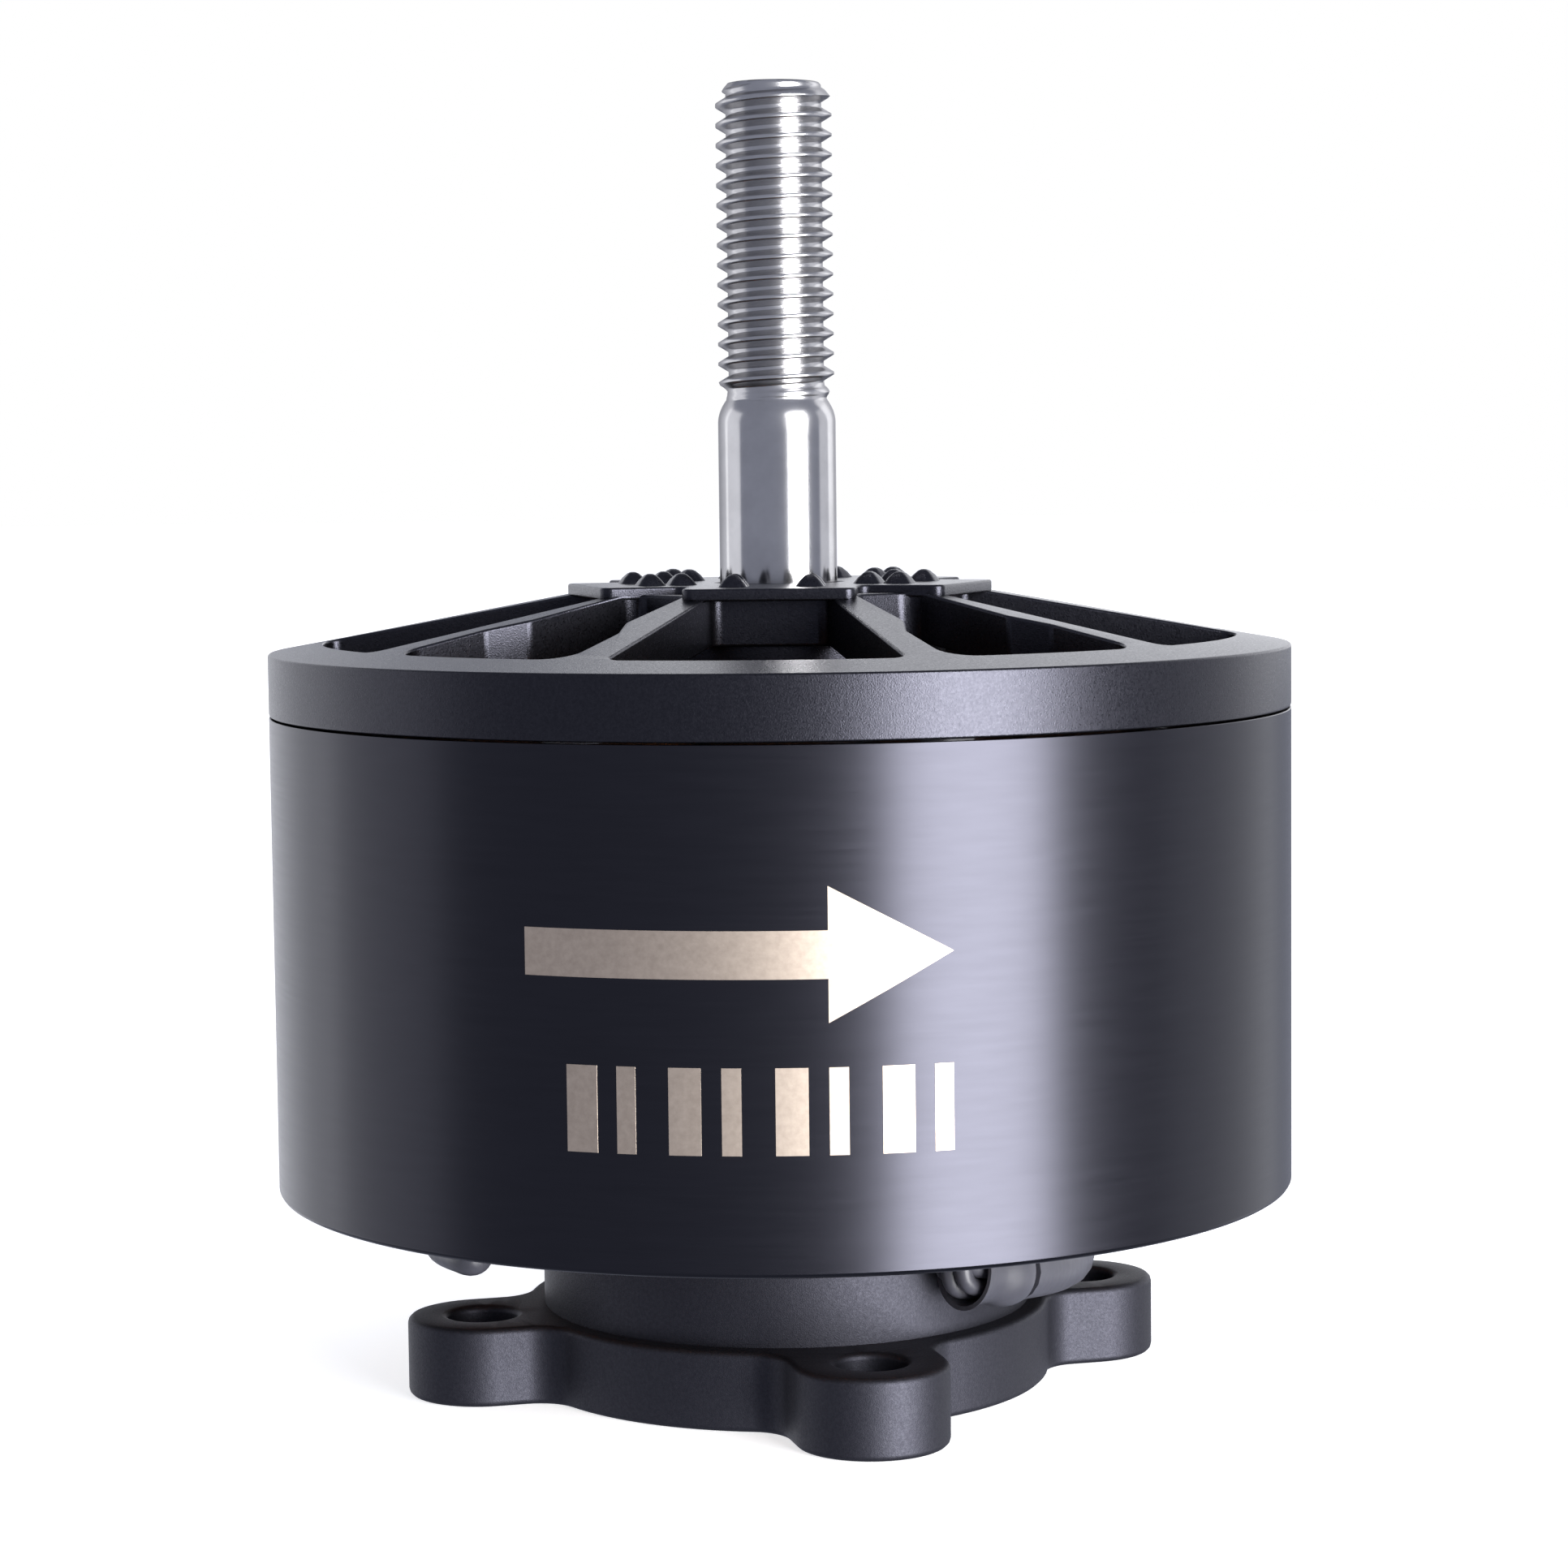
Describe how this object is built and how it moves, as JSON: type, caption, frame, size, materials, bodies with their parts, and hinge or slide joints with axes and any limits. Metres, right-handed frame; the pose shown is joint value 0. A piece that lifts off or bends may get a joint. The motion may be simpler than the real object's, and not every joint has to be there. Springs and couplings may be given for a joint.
{
  "type": "brushless outrunner motor",
  "caption": "Brushless outrunner motor: a bell with a windowed cap and a threaded shaft turns around a wound stator on a cross-shaped base with three phase leads.",
  "frame": {"origin": "on the shaft axis, in the plane of the base's underside", "axes": "+Z along the shaft towards the thread; +X to the right and -Y to the viewer when the leads point away"},
  "size_m": [0.052, 0.1143, 0.0661],
  "materials": {
    "ring_anodised": "dark blue-grey satin anodised, smooth turned outside",
    "cap_anodised": "dark blue-grey anodised over a fine bead blast, with a slight sparkle",
    "base_anodised": "dark blue-grey anodised over a fine bead blast",
    "laser_mark": "laser-etched bare metal graphic",
    "shaft_steel": "ground and turned hardened steel",
    "bearing_steel": "polished bearing steel",
    "cage_brass": "pressed cage with steel balls",
    "screw_black": "black-oxide hardened steel",
    "magnet_nickel": "nickel-plated sintered magnet",
    "lamination": "stacked steel sheets with a dark coating",
    "slot_insulation": "matt epoxy insulation",
    "enamelled_copper": "enamelled copper wire, varnished",
    "lead_sleeving": "glossy grey heat-shrink sleeving",
    "tinned_copper": "tinned wire end"
  },
  "bodies": {
    "stator": {"mounting_base": "base_anodised", "stator_core": "lamination", "insulator_upper": "slot_insulation", "insulator_lower": "slot_insulation", "coil_01": "enamelled_copper", "coil_02": "enamelled_copper", "coil_03": "enamelled_copper", "coil_04": "enamelled_copper", "coil_05": "enamelled_copper", "coil_06": "enamelled_copper", "coil_07": "enamelled_copper", "coil_08": "enamelled_copper", "coil_09": "enamelled_copper", "coil_10": "enamelled_copper", "coil_11": "enamelled_copper", "coil_12": "enamelled_copper", "star_joint_sleeve": "lead_sleeving", "lower_bearing_outer": "bearing_steel", "upper_bearing_outer": "bearing_steel", "lead_collar_a": "lead_sleeving", "phase_lead_a": "lead_sleeving", "lead_end_a": "tinned_copper", "lead_collar_b": "lead_sleeving", "phase_lead_b": "lead_sleeving", "lead_end_b": "tinned_copper", "lead_collar_c": "lead_sleeving", "phase_lead_c": "lead_sleeving", "lead_end_c": "tinned_copper"},
    "rotor": {"flux_ring": "ring_anodised", "magnet_01": "magnet_nickel", "magnet_02": "magnet_nickel", "magnet_03": "magnet_nickel", "magnet_04": "magnet_nickel", "magnet_05": "magnet_nickel", "magnet_06": "magnet_nickel", "magnet_07": "magnet_nickel", "magnet_08": "magnet_nickel", "magnet_09": "magnet_nickel", "magnet_10": "magnet_nickel", "magnet_11": "magnet_nickel", "magnet_12": "magnet_nickel", "magnet_13": "magnet_nickel", "magnet_14": "magnet_nickel", "top_cap": "cap_anodised", "set_screw_1": "screw_black", "set_screw_2": "screw_black", "motor_shaft": "shaft_steel", "shim_washer": "bearing_steel", "shaft_circlip": "screw_black", "lower_bearing_inner": "bearing_steel", "upper_bearing_inner": "bearing_steel"},
    "lower_cage": {"lower_ball_cage": "cage_brass"},
    "upper_cage": {"upper_ball_cage": "cage_brass"}
  },
  "joints": [
    {"name": "rotor_spin", "type": "hinge", "parent": "stator", "child": "rotor", "pos_m": [0, 0, 0], "axis": [0, 0, 1], "continuous": true},
    {"name": "lower_cage_spin", "type": "hinge", "parent": "stator", "child": "lower_cage", "pos_m": [0, 0, 0], "axis": [0, 0, 1], "continuous": true},
    {"name": "upper_cage_spin", "type": "hinge", "parent": "stator", "child": "upper_cage", "pos_m": [0, 0, 0], "axis": [0, 0, 1], "continuous": true}
  ],
  "couplings": [
    {"joint": "lower_cage_spin", "follows": "rotor_spin", "ratio": 0.426},
    {"joint": "upper_cage_spin", "follows": "rotor_spin", "ratio": 0.426}
  ]
}
